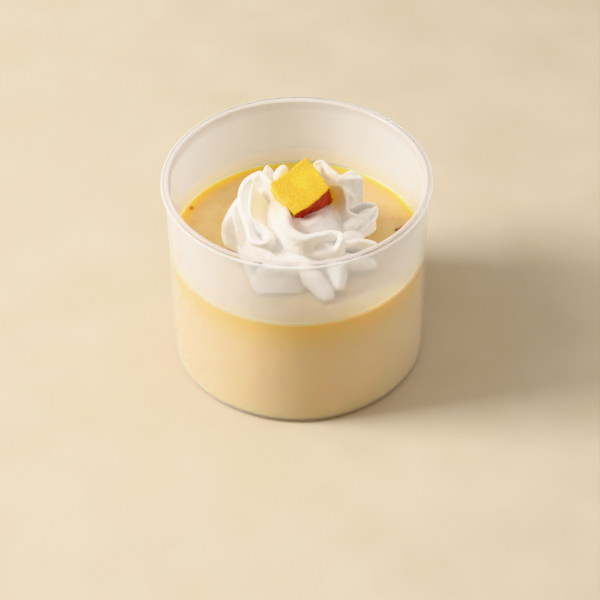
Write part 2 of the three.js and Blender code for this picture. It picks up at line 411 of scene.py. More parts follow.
@dataclass(frozen=True)
class MouldedPolypropylene(Finish):
    """Clear polypropylene, injection moulded: a milky veil that is thicker where the wall turns away.

    The mesh's "haze" says how much of the light its plastic stops at each place. A second attribute
    marks the bead, which is painted greyer than the wall, a painted shade for the darker surroundings
    that the real bead shows by refraction. Its "film" says how much custard clings to it.
    """

    name: str = "moulded_clear_polypropylene"
    roughness: float = 0.12
    ior: float = 1.49
    glow: float = 1.0
    depth: float = 2.0
    tint: str = "#ebeff7"
    # painted shade: the bead's grey stands for the darker surroundings that the real bead shows by
    # refraction
    bead: str = "#d5d0cd"
    film: str = "#fff3d8"
    edge_gain: float = 0.45
    edge_blend: float = 0.3

    def make(self) -> bpy.types.Material:
        """Builds the material: white where it is clean, cream where the film clings, clear between.

        Returns:
            The material.
        """
        material, tree, shader = self.start()
        # painted shade: the bead is greyed
        bead_shade = add_node(tree, "ShaderNodeAttribute", {"attribute_name": "bead_shade"})
        plastic = add_node(
            tree, "ShaderNodeMix",
            {"data_type": "RGBA", 6: linear(self.tint), 7: linear(self.bead)},
            at_0=bead_shade.outputs["Fac"],
        )
        cling = add_node(tree, "ShaderNodeAttribute", {"attribute_name": "film"})
        smeared = add_node(
            tree, "ShaderNodeMix", {"data_type": "RGBA", 7: linear(self.film)},
            at_0=cling.outputs["Fac"], at_6=plastic.outputs[2],
        )
        tree.links.new(smeared.outputs[2], shader.inputs["Base Color"])
        haze = add_node(tree, "ShaderNodeAttribute", {"attribute_name": "haze"})
        turned = add_node(tree, "ShaderNodeLayerWeight", {"Blend": self.edge_blend})
        gain = add_node(
            tree, "ShaderNodeMath", {"operation": "MULTIPLY", 1: self.edge_gain},
            at_0=turned.outputs["Facing"],
        )
        cover = add_node(
            tree, "ShaderNodeMath", {"operation": "ADD", "use_clamp": True},
            at_0=haze.outputs["Fac"], at_1=gain.outputs[0],
        )
        tree.links.new(cover.outputs[0], shader.inputs["Alpha"])
        return material


@dataclass(frozen=True)
class SetCustard(Finish):
    """Sweet potato custard set with gelatine: smooth, moist, and light goes some way in.

    The mesh's "top" says where the surface is painted a darker tan than the sides, a painted shade. Its
    "edge" says where a painted yellow glow lies along its rim against the wall, standing for light that
    shines through the thin edge. Its "film" says where the thin top of that edge is painted pale, a
    painted highlight.
    """

    name: str = "set_sweet_potato_custard"
    roughness: float = 0.38
    ior: float = 1.4
    glow: float = 1.0
    reach: Triple = (1.0, 0.6, 0.28)
    depth: float = 6.0
    body: str = "#fcdba6"
    fleck: str = "#fee2b0"
    # painted shade: the top surface is a darker tan than the sides, as it lies in more shade
    top: str = "#dbbe84"
    shaded_top_fleck: str = "#e2c892"
    # painted light: a yellow glow for light that shines through the thin edge of custard against the
    # wall
    edge: str = "#ffd758"
    speck: str = "#c08a50"
    # painted highlight: the pale colour of the thin top of the smear
    film: str = "#ffe6c6"
    mottle_size: float = 4.0
    speck_size: float = 0.9
    speck_from: float = 0.64
    speck_full: float = 0.78
    speck_most: float = 0.5

    def make(self) -> bpy.types.Material:
        """Builds the material: a pale body and a darker top, mottled, with painted shade on the top, a
        painted yellow glow at the edge and a painted pale highlight on the film.

        Returns:
            The material.
        """
        material, tree, shader = self.start()
        cloud = add_node(
            tree, "ShaderNodeTexNoise", {"Scale": 1.0, "Detail": 4.0},
            Vector=self.place(tree, self.mottle_size),
        )
        mottle = add_node(tree, "ShaderNodeValToRGB", Fac=cloud.outputs["Fac"])
        shade_ramp(mottle, [(0.35, self.body), (0.7, self.fleck)])
        # painted shade on the top surface
        shaded_top = add_node(tree, "ShaderNodeValToRGB", Fac=cloud.outputs["Fac"])
        shade_ramp(shaded_top, [(0.35, self.top), (0.7, self.shaded_top_fleck)])
        over = add_node(tree, "ShaderNodeAttribute", {"attribute_name": "top"})
        ground = add_node(
            tree, "ShaderNodeMix", {"data_type": "RGBA"},
            at_0=over.outputs["Fac"], at_6=mottle.outputs["Color"], at_7=shaded_top.outputs["Color"],
        )
        fine = add_node(
            tree, "ShaderNodeTexNoise", {"Scale": 1.0, "Detail": 2.0},
            Vector=self.place(tree, self.speck_size),
        )
        sparse = add_node(
            tree, "ShaderNodeMapRange",
            {"From Min": self.speck_from, "From Max": self.speck_full, "To Max": self.speck_most},
            Value=fine.outputs["Fac"],
        )
        dotted = add_node(
            tree, "ShaderNodeMix", {"data_type": "RGBA", 7: linear(self.speck)},
            at_0=sparse.outputs[0], at_6=ground.outputs[2],
        )
        edge = add_node(tree, "ShaderNodeAttribute", {"attribute_name": "edge"})
        # painted light: the yellow glow along the edge
        glowing_edge = add_node(
            tree, "ShaderNodeMix", {"data_type": "RGBA", 7: linear(self.edge)},
            at_0=edge.outputs["Fac"], at_6=dotted.outputs[2],
        )
        # painted highlight on the thin top of the smear
        tip_highlight = add_node(tree, "ShaderNodeAttribute", {"attribute_name": "film"})
        pale = add_node(
            tree, "ShaderNodeMix", {"data_type": "RGBA", 7: linear(self.film)},
            at_0=tip_highlight.outputs["Fac"], at_6=glowing_edge.outputs[2],
        )
        tree.links.new(pale.outputs[2], shader.inputs["Base Color"])
        return material


@dataclass(frozen=True)
class WhippedCream(Finish):
    """Piped whipped cream: white, dull, slightly grainy, and soft where light is caught in folds.

    Near the dice it is painted yellow and pink: painted light, for the light that the dice's flesh and
    skin throw on it. The bubbles are drawn several times coarser than real ones, so that they show.
    """

    name: str = "whipped_cream"
    roughness: float = 0.55
    ior: float = 1.36
    glow: float = 0.3
    reach: Triple = (1.0, 0.9, 0.75)
    tint: str = "#fbfaf6"
    # painted light: yellow from the dice's flesh and pink from its skin, thrown on the cream
    dice_yellow_light: str = "#fdc836"
    dice_pink_light: str = "#e0a596"
    bubble: float = 0.45
    bump: float = 0.8
    bump_height: float = 0.2

    def make(self) -> bpy.types.Material:
        """Builds the material: near white, with painted yellow and pink light from the dice beside it,
        pitted by bubbles.

        Returns:
            The material.
        """
        material, tree, shader = self.start()
        # painted light from the dice: yellow by its flesh, pink under its skin
        flesh_side = add_node(tree, "ShaderNodeAttribute", {"attribute_name": "dice_yellow_light"})
        yellow = add_node(
            tree, "ShaderNodeMix",
            {"data_type": "RGBA", 6: linear(self.tint), 7: linear(self.dice_yellow_light)},
            at_0=flesh_side.outputs["Fac"],
        )
        skin_side = add_node(tree, "ShaderNodeAttribute", {"attribute_name": "dice_pink_light"})
        red = add_node(
            tree, "ShaderNodeMix", {"data_type": "RGBA", 7: linear(self.dice_pink_light)},
            at_0=skin_side.outputs["Fac"], at_6=yellow.outputs[2],
        )
        tree.links.new(red.outputs[2], shader.inputs["Base Color"])
        bubbles = add_node(
            tree, "ShaderNodeTexNoise", {"Scale": 1.0, "Detail": 3.0},
            Vector=self.place(tree, self.bubble),
        )
        relief = add_node(
            tree, "ShaderNodeBump", {"Strength": self.bump, "Distance": self.bump_height * MM},
            Height=bubbles.outputs["Fac"],
        )
        tree.links.new(relief.outputs[0], shader.inputs["Normal"])
        return material


@dataclass(frozen=True)
class PotatoFlesh(Finish):
    """Candied sweet potato flesh, cut across: bright yellow, moist, with fine pale fibres.

    The mesh's "by_skin" says where it nears the skin and is deeper in colour, and its UV map
    "grain" measures the fibres in their own widths.
    """

    name: str = "candied_sweet_potato_flesh"
    roughness: float = 0.35
    glow: float = 1.0
    reach: Triple = (1.0, 0.8, 0.1)
    depth: float = 0.5
    deep: str = "#ecc400"
    bright: str = "#f2e018"
    fibre: str = "#fbea66"
    by_skin: str = "#e6b400"
    cloud_size: float = 5.0
    fibre_from: float = 0.5
    fibre_full: float = 0.66
    bump: float = 0.6
    bump_height: float = 0.2

    def make(self) -> bpy.types.Material:
        """Builds the material: two yellows, deeper by the skin, streaked by pale fibres.

        Returns:
            The material.
        """
        material, tree, shader = self.start()
        cloud = add_node(
            tree, "ShaderNodeTexNoise", {"Scale": 1.0, "Detail": 2.0},
            Vector=self.place(tree, self.cloud_size),
        )
        tone = add_node(tree, "ShaderNodeValToRGB", Fac=cloud.outputs["Fac"])
        shade_ramp(tone, [(0.35, self.deep), (0.65, self.bright)])
        rind = add_node(tree, "ShaderNodeAttribute", {"attribute_name": "by_skin"})
        ground = add_node(
            tree, "ShaderNodeMix", {"data_type": "RGBA", 7: linear(self.by_skin)},
            at_0=rind.outputs["Fac"], at_6=tone.outputs["Color"],
        )
        along = add_node(tree, "ShaderNodeUVMap", {"uv_map": "grain"})
        thread = add_node(
            tree, "ShaderNodeTexNoise", {"Scale": 1.0, "Detail": 3.0}, Vector=along.outputs[0]
        )
        streak = add_node(
            tree, "ShaderNodeMapRange", {"From Min": self.fibre_from, "From Max": self.fibre_full},
            Value=thread.outputs["Fac"],
        )
        streaked = add_node(
            tree, "ShaderNodeMix", {"data_type": "RGBA", 7: linear(self.fibre)},
            at_0=streak.outputs[0], at_6=ground.outputs[2],
        )
        tree.links.new(streaked.outputs[2], shader.inputs["Base Color"])
        relief = add_node(
            tree, "ShaderNodeBump", {"Strength": self.bump, "Distance": self.bump_height * MM},
            Height=thread.outputs["Fac"],
        )
        tree.links.new(relief.outputs[0], shader.inputs["Normal"])
        return material


@dataclass(frozen=True)
class PotatoSkin(Finish):
    """Cooked sweet potato skin: thin, wrinkled, red going to purple, with fine lines along it.

    The mesh's UV map "grain" measures the lines in their own widths.
    """

    name: str = "cooked_sweet_potato_skin"
    roughness: float = 0.42
    dark: str = "#96141a"
    mid: str = "#bc2c22"
    light: str = "#da6448"
    bump: float = 0.4
    bump_height: float = 0.15

    def make(self) -> bpy.types.Material:
        """Builds the material: three reds in lines that run along the skin.

        Returns:
            The material.
        """
        material, tree, shader = self.start()
        along = add_node(tree, "ShaderNodeUVMap", {"uv_map": "grain"})
        lines = add_node(
            tree, "ShaderNodeTexNoise", {"Scale": 1.0, "Detail": 4.0}, Vector=along.outputs[0]
        )
        tone = add_node(tree, "ShaderNodeValToRGB", Fac=lines.outputs["Fac"])
        shade_ramp(tone, [(0.35, self.dark), (0.5, self.mid), (0.68, self.light)])
        tree.links.new(tone.outputs["Color"], shader.inputs["Base Color"])
        relief = add_node(
            tree, "ShaderNodeBump", {"Strength": self.bump, "Distance": self.bump_height * MM},
            Height=lines.outputs["Fac"],
        )
        tree.links.new(relief.outputs[0], shader.inputs["Normal"])
        return material


@dataclass(frozen=True)
class PeelFleck(Finish):
    """Crumbs of browned sweet potato peel: dull, from orange to brown as the mesh's "tone" says."""

    name: str = "browned_peel"
    pale: str = "#dc9c50"
    dark: str = "#9a6848"
    blotch_size: float = 0.6
    blotch_share: float = 0.6

    def make(self) -> bpy.types.Material:
        """Builds the material: two browns, blotched, between which each crumb has its own tone.

        Returns:
            The material.
        """
        material, tree, shader = self.start()
        cloud = add_node(
            tree, "ShaderNodeTexNoise", {"Scale": 1.0, "Detail": 2.0},
            Vector=self.place(tree, self.blotch_size),
        )
        tone = add_node(tree, "ShaderNodeAttribute", {"attribute_name": "tone"})
        blotch = add_node(
            tree, "ShaderNodeMath",
            {"operation": "MULTIPLY_ADD", 1: self.blotch_share, "use_clamp": True},
            at_0=cloud.outputs["Fac"], at_2=tone.outputs["Fac"],
        )
        brown = add_node(
            tree, "ShaderNodeMix",
            {"data_type": "RGBA", 6: linear(self.pale), 7: linear(self.dark)},
            at_0=blotch.outputs[0],
        )
        tree.links.new(brown.outputs[2], shader.inputs["Base Color"])
        return material


@dataclass(frozen=True)
class PaleStone(Finish):
    """The plain floor, as of pale honed stone: matt, faintly mottled."""

    name: str = "pale_matt_floor"
    tint: str = "#c9bfa9"
    cloud: str = "#cec5b1"
    cloud_size: float = 25.0

    def make(self) -> bpy.types.Material:
        """Builds the material: two close pale tones.

        Returns:
            The material.
        """
        material, tree, shader = self.start()
        soft = add_node(
            tree, "ShaderNodeTexNoise", {"Scale": 1.0, "Detail": 3.0},
            Vector=self.place(tree, self.cloud_size),
        )
        tone = add_node(tree, "ShaderNodeValToRGB", Fac=soft.outputs["Fac"])
        shade_ramp(tone, [(0.35, self.tint), (0.65, self.cloud)])
        tree.links.new(tone.outputs["Color"], shader.inputs["Base Color"])
        return material


# ---------------------------------------------------------------- cup


@dataclass(frozen=True)
class Cup:
    """The moulded cup: a thin tapered wall, a turned-out rim with a raised bead, a set-in base.

    Attributes:
        height: from the foot to the top of the bead.
        rim_radius: radius of the rim's outer edge.
        mouth_radius: radius of the inner wall at the top.
        wall_top: radius of the outer wall just below the rim.
        wall_base: radius of the outer wall at the foot.
        wall: thickness of the wall.
        floor: height of the inside's bottom.
        rim_depth: from the top of the bead to the rim's underside.
        rim_step: how far the rim lies below the top of the bead.
        bead_width: width of the raised bead round the mouth.
        fillet: size of the small rounded corners.
        base_corner: radius of the outer corner at the foot.
        floor_corner: radius of the inner corner at the bottom.
        foot_ring: width of the ring that the cup stands on.
        foot_recess: how far the base is set in above that ring.
        foot_round: height of the ring's rounded inner edge.
        crisp: width over which the looks of the rim change, too narrow to be seen as a blend.
        wall_first: height of the lowest extra points on the walls.
        wall_last: height of the highest.
        look_gap: height left free of points on either side of where the looks change.
        look_margin: how far the close points go on past it.
        film_climb: how high custard clings to the inside above its level.
        haze_low: share of light that the wall stops against the custard.
        haze_high: the same above the custard.
        haze_highlight_line: the same in the bright line along the rim's edge, a painted highlight for
            the glint on that edge.
        haze_groove: the same in the clear groove, where the veil is thinned by what is below 0.
        haze_band: the same over the bead.
        film_haze: what the film of custard adds at its level.
        highlight_width: width of that painted highlight.
        bead_margin: how far outside the bead its band ends.
        mouth_margin: how far outside the mouth it starts.
        inside_margin: how far outside the inner wall a point still belongs to it.
        crease: faces that meet at more than this angle keep a sharp edge.
        corner_steps: steps round a corner.
        bead_steps: steps round the bead.
        sides: points round the cup.
    """

    height: float
    rim_radius: float
    mouth_radius: float = 35.4
    wall_top: float = 36.8
    wall_base: float = 35.6
    wall: float = 0.5
    floor: float = 0.8
    rim_depth: float = 1.3
    rim_step: float = 0.35
    bead_width: float = 1.6
    fillet: float = 0.3
    base_corner: float = 1.4
    floor_corner: float = 1.3
    foot_ring: float = 2.6
    foot_recess: float = 0.5
    foot_round: float = 0.05
    crisp: float = 0.02
    wall_first: float = 4.0
    wall_last: float = 56.0
    look_gap: float = 3.0
    look_margin: float = 0.4
    film_climb: float = 6.0
    haze_low: float = 0.13
    haze_high: float = 0.32
    haze_highlight_line: float = 0.6
    haze_groove: float = -0.06
    haze_band: float = 0.66
    film_haze: float = 0.24
    highlight_width: float = 0.48
    bead_margin: float = 0.08
    mouth_margin: float = 0.05
    inside_margin: float = 0.1
    crease: float = 50.0
    corner_steps: int = 12
    bead_steps: int = 16
    sides: int = 256

    @staticmethod
    def from_frame() -> "Cup":
        """Takes the cup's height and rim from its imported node."""
        low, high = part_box("cup")
        return Cup(height=(high.z - low.z) / MM, rim_radius=high.x / MM)

    def inside_radius(self, z: float | Array) -> float | Array:
        """Radius of the inner wall at a height, straight from the floor to the mouth."""
        low = self.wall_base - self.wall
        return low + (self.mouth_radius - low) * z / self.height

    def profile(self, level: float) -> Array:
        """The outline from the middle of the base, up the outside, over the rim and down the inside.

        Args:
            level: height of the custard's surface; the walls get extra points about it.

        Returns:
            Rows of radius and height. Each corner is an arc and each wall a straight line.
        """
        under = self.height - self.rim_depth
        over = self.height - self.rim_step
        lip = (over - under) / 2
        edge = self.rim_radius - lip
        bead = self.bead_width / 2
        bead_foot = self.mouth_radius + self.bead_width + self.fillet / 2
        recess = self.wall_base - self.base_corner - self.foot_ring
        ring = recess + self.foot_recess
        foot = (self.wall_base - self.base_corner, self.base_corner)
        inner = self.floor + self.floor_corner
        nook = (self.inside_radius(inner) - self.floor_corner, inner)
        return np.vstack(
            [
                [[POLE, self.foot_recess], [recess - self.fillet, self.foot_recess]],
                [[ring, self.foot_round], [ring + self.fillet, 0]],
                arc(foot, self.base_corner, -90, 0, self.corner_steps),
                self.wall_points(level, self.wall_base, self.wall_top)[:-1],
                [[self.wall_top, under - 2 * self.fillet]],
                [[self.wall_top + self.fillet / 2, under - self.fillet / 2]],
                [[self.wall_top + self.fillet, under], [edge - self.crisp, under]],
                arc((edge, under + lip), lip, -90, 90, self.corner_steps),
                [[edge - self.crisp, over], [bead_foot, over]],
                arc((self.mouth_radius + bead, self.height - bead), bead, 45, 180, self.bead_steps),
                self.wall_points(level, self.inside_radius(0), self.mouth_radius)[::-1],
                arc(nook, self.floor_corner, 0, -90, self.corner_steps),
                [[POLE, self.floor]],
            ]
        )

    def wall_points(self, level: float, low: float, high: float) -> Array:
        """Points up a straight wall: close together about the level, where its looks change.

        Args:
            level: height of the custard's surface.
            low: the wall's radius at its foot.
            high: its radius at the cup's top.

        Returns:
            Rows of radius and height, rising.
        """
        film_top = level + self.film_climb
        below = np.linspace(self.wall_first, level - self.look_gap, 8)
        near = level + np.linspace(-self.look_margin, self.film_climb + self.look_margin, 20)
        above = np.linspace(film_top + self.look_gap, self.wall_last, 6)
        z = np.r_[below, near, above]
        return np.stack([low + (high - low) * z / self.height, z], 1)

    def haze(self, points: Array, level: float) -> Array:
        """How much light the plastic stops: little against the custard, more above it, most in the rim.

        In the rim a bright line runs along the outer edge, a painted highlight for the glint on that
        edge, and a broad band lies over the bead, with a clear groove between them.

        Args:
            points: the cup's points.
            level: height of the custard's surface.

        Returns:
            A share for each point.
        """
        radius = np.hypot(points[:, 0], points[:, 1])
        wall = np.where(points[:, 2] < level, self.haze_low, self.haze_high)
        # painted highlight: the rim's outer line is a bright band of veil, for the glint on its edge
        rim = np.select(
            [
                radius > self.rim_radius - self.highlight_width,
                radius > self.bead_limit(),
                radius > self.mouth_radius + self.mouth_margin,
            ],
            [self.haze_highlight_line, self.haze_groove, self.haze_band],
            self.haze_high,
        )
        return np.where(self.in_rim(points), rim, wall)

    def in_rim(self, points: Array) -> Array:
        """Tells which points lie above the rim's underside."""
        return points[:, 2] > self.height - self.rim_depth

    def bead_limit(self) -> float:
        """Radius just outside the bead."""
        return self.mouth_radius + self.bead_width + self.bead_margin

    def build(self, level: float) -> bpy.types.Object:
        """The film of custard fades up the inside as the square root of the share of its climb left.

        Args:
            level: height of the custard's surface.

        Returns:
            The piece.
        """
        shell = Skin.turned(self.profile(level), self.sides)
        item = add_piece("cup_shell", [shell], [MouldedPolypropylene().make()])
        face_outwards(item.data)
        item.data.set_sharp_from_angle(angle=np.radians(self.crease))
        points, _ = points_of(item.data)
        radius = np.hypot(points[:, 0], points[:, 1])
        inside = radius < self.inside_radius(points[:, 2]) + self.inside_margin
        above = (points[:, 2] - level) / self.film_climb
        film = np.where(inside, np.clip(1 - np.maximum(above, 0), 0, 1) ** 0.5, 0)
        on_bead = self.in_rim(points) & (radius < self.bead_limit())
        clinging = self.film_haze * np.where(above > 0, film, 0)
        paint(item.data, "haze", self.haze(points, level) + clinging)
        # marks the bead for its painted shade
        paint(item.data, "bead_shade", on_bead.astype(float))
        paint(item.data, "film", film)
        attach(item, "root")
        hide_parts("cup")
        return item


# ---------------------------------------------------------------- pudding


@dataclass(frozen=True)
class Pudding:
    """The custard: it fills the cup to its level and reaches just into the wall, so no air shows.

    Attributes:
        cup: the cup that it fills.
        level: height of its surface.
        film: how far a smear stands up the wall.
        film_reach: how far the smear spreads over the surface from the wall.
        film_start: share of that width at which the smear's curve starts.
        highlight_from: height above the level from which the smear is painted pale, a painted highlight.
        bite: how far the custard reaches into the wall.
        shaded_top_depth: how far below the surface the painted shade of the top ends.
        glow_above: how far the painted yellow glow of the edge reaches above the level.
        glow_below: the same below it.
        glow_inward: the same over the surface.
        uneven: the surface's relief.
        top_margin: how far below the level a point still belongs to the surface.
        film_steps: points across the smear.
        wall_steps: points up the wall.
        top_steps: points from the smear to the middle.
        corner_steps: steps round the corner at the bottom.
        sides: points round the pudding.
    """

    cup: Cup
    level: float = 37.0
    film: float = 0.8
    film_reach: float = 1.6
    film_start: float = 0.05
    highlight_from: float = 0.3
    bite: float = 0.15
    shaded_top_depth: float = 1.2
    glow_above: float = 0.7
    glow_below: float = 8.0
    glow_inward: float = 2.4
    uneven: tuple[Grain, ...] = (Grain(0.05, 5, 3), Grain(0.02, 1.5, 4))
    top_margin: float = 0.01
    film_steps: int = 16
    wall_steps: int = 40
    top_steps: int = 60
    corner_steps: int = 10
    sides: int = 192

    def profile(self) -> Array:
        """The outline from the middle of the bottom, up the wall, over the film and in along the top.

        Returns:
            Rows of radius and height. The film falls from the wall as the cube of the share left.
        """
        corner = self.cup.floor_corner
        bottom = self.cup.floor - self.bite
        top = self.level + self.film
        low = self.cup.inside_radius(bottom + corner) + self.bite
        high = self.cup.inside_radius(top) + self.bite
        share = np.linspace(self.film_start, 1, self.film_steps)
        smear = np.stack(
            [high - self.bite - self.film_reach * share, self.level + self.film * (1 - share) ** 3], 1
        )
        surface = np.linspace(high - self.bite - self.film_reach, POLE, self.top_steps)[1:]
        return np.vstack(
            [
                [[POLE, bottom]],
                arc((low - corner, bottom + corner), corner, -90, 0, self.corner_steps),
                np.linspace([low, bottom + corner], [high, top], self.wall_steps)[1:],
                smear,
                np.stack([surface, np.full_like(surface, self.level)], 1),
            ]
        )

    def build(self) -> bpy.types.Object:
        """The yellow of the edge is a painted glow, standing for light that shines through the thin
        edge. It falls off as a bell curve with the distance from where the surface meets the wall.

        Returns:
            The piece.
        """
        body = Skin.turned(self.profile(), self.sides)
        item = add_piece("pudding_fill", [body], [SetCustard().make()])
        face_outwards(item.data)
        points, _ = points_of(item.data)
        rise = points[:, 2] - self.level
        off_level = np.where(rise > 0, rise / self.glow_above, rise / self.glow_below)
        radius = np.hypot(points[:, 0], points[:, 1])
        from_wall = np.maximum(self.cup.inside_radius(self.level) - radius, 0)
        # painted highlight: the smear turns pale near its top
        film = np.clip((rise - self.highlight_from) / (self.film - self.highlight_from), 0, 1)
        # painted light: the yellow glow falls off from where the surface meets the wall
        paint(item.data, "edge", np.exp(-((from_wall / self.glow_inward) ** 2) - off_level**2))
        # painted shade: the top takes the darker tan
        paint(item.data, "top", np.clip(1 + rise / self.shaded_top_depth, 0, 1))
        paint(item.data, "film", film)
        top = points[:, 2] > self.level - self.top_margin
        points[top, 2] += sum(layer.over(points[top]) for layer in self.uneven)
        move_points(item.data, points)
        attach(item, "root")
        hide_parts("pudding")
        return item


# ---------------------------------------------------------------- cream


@dataclass(frozen=True)
class Fold:
    """One fold of cream: a blade with a round edge, swept along its crest.

    Attributes:
        crest: a few knots along it: turn about the swirl's axis, distance from it, and height
            above the pudding.
        edge: radius of the rounded edge at the crest's two ends.
        root: half width where the blade joins the heap.
        pull: share of the way back to the axis that its root lies.
        drop: how far down its root lies.
        ends: length of a rounded end, as a multiple of the edge's radius.
    """

    crest: tuple[Triple, ...]
    edge: tuple[float, float]
    root: float
    pull: float
    drop: float
    ends: float = 1.6


@dataclass(frozen=True)
class CreamSwirl:
    """The piped swirl: a heap that carries the folds, joined into one skin.

    Attributes:
        level: height of the pudding that it stands on.
        folds: its folds.
        heap: the heap's outline, as rows of radius and height above the pudding.
        dice: the dice that stains it.
        centre: where its axis stands.
        bluntness: share of its width that a fold keeps at its very end.
        end_parts: a rounded end takes at most one part in so many of the fold's length.
        sink: how far below the pudding the folds may reach before they are trimmed.
        seat: how far below the pudding's surface the cream is cut flat.
        voxel: size of the cells in which heap and folds melt together.
        relief: the cream's fine unevenness.
        smoothing: strength of each round of smoothing.
        smoothing_rounds: number of those rounds.
        crest_samples: points from which a crest's length is taken.
        stations: outlines along a fold.
        cap_steps: steps round a fold's edge.
        flank_steps: steps down each of its sides.
        heap_sides: points round the heap.
    """

    level: float
    folds: tuple[Fold, ...]
    heap: tuple[tuple[float, float], ...]
    dice: "PotatoDice"
    centre: tuple[float, float] = (0.7, -3.5)
    bluntness: float = 0.1
    end_parts: float = 3.0
    sink: float = 4.0
    seat: float = 0.5
    voxel: float = 0.275
    relief: tuple[Grain, ...] = (Grain(0.07, 1.6, 11), Grain(0.06, 0.75, 12))
    smoothing: float = 0.5
    smoothing_rounds: int = 2
    crest_samples: int = 600
    stations: int = 44
    cap_steps: int = 10
    flank_steps: int = 8
    heap_sides: int = 96

    def place(self, knots: Array) -> Array:
        """Turns knots into points: from the axis by the distance along the turn, up from the level.

        Args:
            knots: rows of turn, distance and height.

        Returns:
            Rows of x, y and z.
        """
        turn = np.radians(knots[:, 0])
        x = self.centre[0] + knots[:, 1] * np.cos(turn)
        y = self.centre[1] + knots[:, 1] * np.sin(turn)
        return np.stack([x, y, self.level + knots[:, 2]], 1)

    @staticmethod
    def curve(knots: Array, share: Array) -> Array:
        """A centripetal Catmull-Rom curve through the knots.

        Each stretch is a cubic whose end slopes come from its neighbours, weighted by the square
        root of the distance between knots, so that it makes no loops at tight places.

        Args:
            knots: points that the curve passes through.
            share: places along it, from 0 to 1, equal between knots.

        Returns:
            Points on the curve.
        """
        padded = np.vstack([2 * knots[0] - knots[1], knots, 2 * knots[-1] - knots[-2]])
        place = np.clip(share, 0, 1) * (len(knots) - 1)
        i = np.minimum(place.astype(int), len(knots) - 2)
        t = (place - i)[:, None]
        a, b, c, d = (padded[i + k] for k in range(4))
        before, here, after = (
            np.sqrt(np.linalg.norm(q - p, axis=1))[:, None] for p, q in ((a, b), (b, c), (c, d))
        )
        start = ((b - a) / before - (c - a) / (before + here) + (c - b) / here) * here
        end = ((c - b) / here - (d - b) / (here + after) + (d - c) / after) * here
        square = 3 * (c - b) - 2 * start - end
        cube = 2 * (b - c) + start + end
        return b + start * t + square * t**2 + cube * t**3

    def fold_skin(self, fold: Fold) -> Skin:
        """Sweeps a fold's section along its crest.

        The section is a half circle at the crest, and two sides that widen to the root as the
        square of the depth. Its axis runs from the crest to a foot that lies lower and nearer the
        swirl's axis. At both ends the section shrinks as a quarter circle.

        Args:
            fold: the fold.

        Returns:
            Its closed skin.
        """
        knots = self.place(np.array(fold.crest))
        fine = np.linspace(0, 1, self.crest_samples)
        along = self.curve(knots, fine)
        run = np.r_[0, np.cumsum(np.linalg.norm(np.diff(along, axis=0), axis=1))]
        length = run[-1]
        even = np.linspace(0, length, self.stations)
        crest = self.curve(knots, np.interp(even, run, fine))
        ahead = np.gradient(crest, axis=0)
        ahead /= np.linalg.norm(ahead, axis=1)[:, None]
        edge = (fold.edge[0] + (fold.edge[1] - fold.edge[0]) * even / length)[:, None]
        reach = np.minimum(edge[:, 0] * fold.ends, length / self.end_parts)
        left = 1 - np.minimum(np.minimum(even, length - even), reach) / reach
        full = np.maximum(self.bluntness, np.sqrt(1 - left**2))[:, None]
        foot = crest.copy()
        foot[:, :2] += (np.array(self.centre) - crest[:, :2]) * fold.pull
        foot[:, 2] = np.maximum(crest[:, 2] - fold.drop, self.level - self.sink)
        down = foot - crest
        depth = np.linalg.norm(down, axis=1)[:, None]
        down /= depth
        side = np.cross(ahead, down)
        side /= np.linalg.norm(side, axis=1)[:, None]
        angle = np.linspace(-np.pi / 2, np.pi / 2, self.cap_steps + 1)
        cap_deep = edge * (1 - np.cos(angle) * full)
        cap_wide = edge * np.sin(angle)
        share = np.arange(1, self.flank_steps + 1) / self.flank_steps
        flank_deep = edge + (depth - edge) * share
        flank_wide = edge + np.maximum(fold.root - edge, 0) * share**2
        deep = np.concatenate([cap_deep, flank_deep, flank_deep[:, ::-1]], 1)
        wide = np.concatenate([cap_wide, flank_wide, -flank_wide[:, ::-1]], 1) * full
        rings = crest[:, None] + deep[..., None] * down[:, None] + wide[..., None] * side[:, None]
        return Skin.of_rings(rings)

    def build(self) -> bpy.types.Object:
        """Returns:
            The piece.
        """
        heap = np.array(self.heap) + [0, self.level]
        heap = np.vstack([[POLE, heap[0, 1]], heap, [POLE, heap[-1, 1]]])
        skins = [Skin.turned(heap, self.heap_sides, self.centre), *map(self.fold_skin, self.folds)]
        item = add_piece("cream_swirl", skins, [WhippedCream().make()])
        face_outwards(item.data)
        melt = item.modifiers.new("melt", "REMESH")
        melt.mode = "VOXEL"
        melt.voxel_size = self.voxel * MM
        melt.use_smooth_shade = True
        smooth = item.modifiers.new("smooth", "SMOOTH")
        smooth.factor = self.smoothing
        smooth.iterations = self.smoothing_rounds
        settle(item)
        self.trim(item.data)
        points, normals = points_of(item.data)
        points += normals * sum(layer.over(points) for layer in self.relief)[:, None]
        move_points(item.data, points)
        # painted light thrown by the dice on the cream
        dice_yellow_light, dice_pink_light = self.dice.light_from_dice(points)
        paint(item.data, "dice_yellow_light", dice_yellow_light)
        paint(item.data, "dice_pink_light", dice_pink_light)
        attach(item, "root")
        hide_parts("cream")
        return item

    def trim(self, mesh: bpy.types.Mesh) -> None:
        """Drops loose specks, cuts the cream flat a little below the pudding, and closes the cut.

        Args:
            mesh: the cream's mesh.
        """
        work = bmesh.new()
        work.from_mesh(mesh)
        work.verts.ensure_lookup_table()
        specks = [work.verts[place] for place in np.flatnonzero(~main_part(mesh))]
        bmesh.ops.delete(work, geom=specks, context="VERTS")
        height = (self.level - self.seat) * MM
        parts = work.verts[:] + work.edges[:] + work.faces[:]
        cut = bmesh.ops.bisect_plane(
            work, geom=parts, plane_co=(0, 0, height), plane_no=(0, 0, 1), clear_inner=True
        )
        rim = [part for part in cut["geom_cut"] if isinstance(part, bmesh.types.BMEdge)]
        bmesh.ops.holes_fill(work, edges=rim)
        work.to_mesh(mesh)
        work.free()


